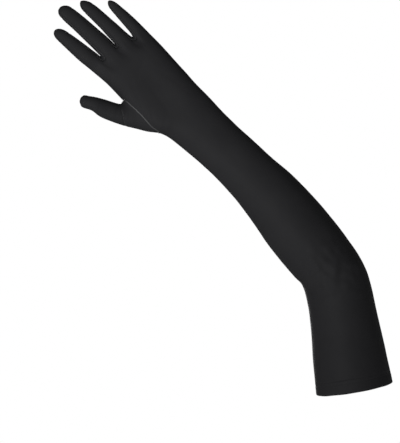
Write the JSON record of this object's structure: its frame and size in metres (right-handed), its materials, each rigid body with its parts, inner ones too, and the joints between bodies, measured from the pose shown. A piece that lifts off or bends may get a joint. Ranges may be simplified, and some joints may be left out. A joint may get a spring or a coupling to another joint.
{
  "type": "long satin dress glove, left hand, elbow bent as worn",
  "caption": "Long black satin dress glove for a left hand, reaching past the elbow, hollow and open at the arm, with finger stalls and a set-in thumb.",
  "frame": {"origin": "middle of the arm opening, where the glove is held up as an arm holds it", "axes": "+Z from the wrist to the fingertips along the forearm, +X towards the little finger's side, -Y towards the palm's side; the upper arm leaves the elbow down and to -X"},
  "size_m": [0.1516, 0.086, 0.5438],
  "materials": {
    "satin": "stretch satin, soft low sheen"
  },
  "bodies": {
    "root": {"hem": "satin", "sleeve": "satin", "hand": "satin", "finger_index": "satin", "finger_middle": "satin", "finger_ring": "satin", "finger_little": "satin", "fourchette_index_middle": "satin", "fourchette_middle_ring": "satin", "fourchette_ring_little": "satin", "thumb_gusset": "satin", "thumb": "satin"}
  },
  "joints": []
}
